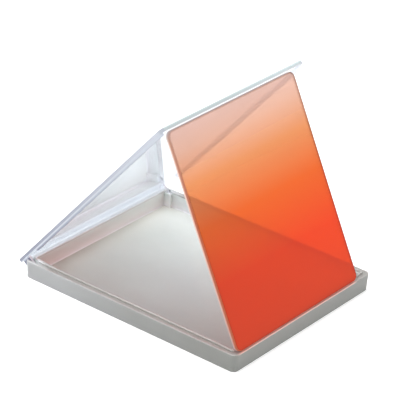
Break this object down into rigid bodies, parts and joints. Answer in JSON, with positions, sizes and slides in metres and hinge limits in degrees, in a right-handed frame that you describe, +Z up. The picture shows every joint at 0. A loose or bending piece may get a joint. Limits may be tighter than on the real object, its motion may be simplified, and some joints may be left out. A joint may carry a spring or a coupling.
{
  "type": "graduated camera filter in its storage case",
  "caption": "Square graduated resin camera filter standing propped between the front ledge of a frosted storage tray and its hinged clear lid.",
  "frame": {"origin": "middle of the tray's flat underside", "axes": "+X along the lid's hinge, +Y from the tray's front towards the hinge, +Z up"},
  "size_m": [0.0956, 0.1188, 0.0954],
  "materials": {
    "frosted_tray": "frosted grey translucent moulding, glossy inside",
    "clear_lid": "clear polished moulding",
    "orange_resin": "polished clear resin, dyed orange from the lower edge and fading to clear at the upper edge"
  },
  "bodies": {
    "tray": {"case_tray": "frosted_tray"},
    "lid": {"case_lid": "clear_lid"},
    "filter": {"filter_plate": "orange_resin"}
  },
  "joints": [
    {"name": "lid_hinge", "type": "hinge", "parent": "tray", "child": "lid", "pos_m": [0, 0.0549, 0.0054], "axis": [-1, 0, 0], "range_deg": [0, 57.9]},
    {"name": "filter_lift", "type": "slide", "parent": "tray", "child": "filter", "axis": [0, -0.8949, 0.4462], "range_m": [0, 0.06]}
  ]
}
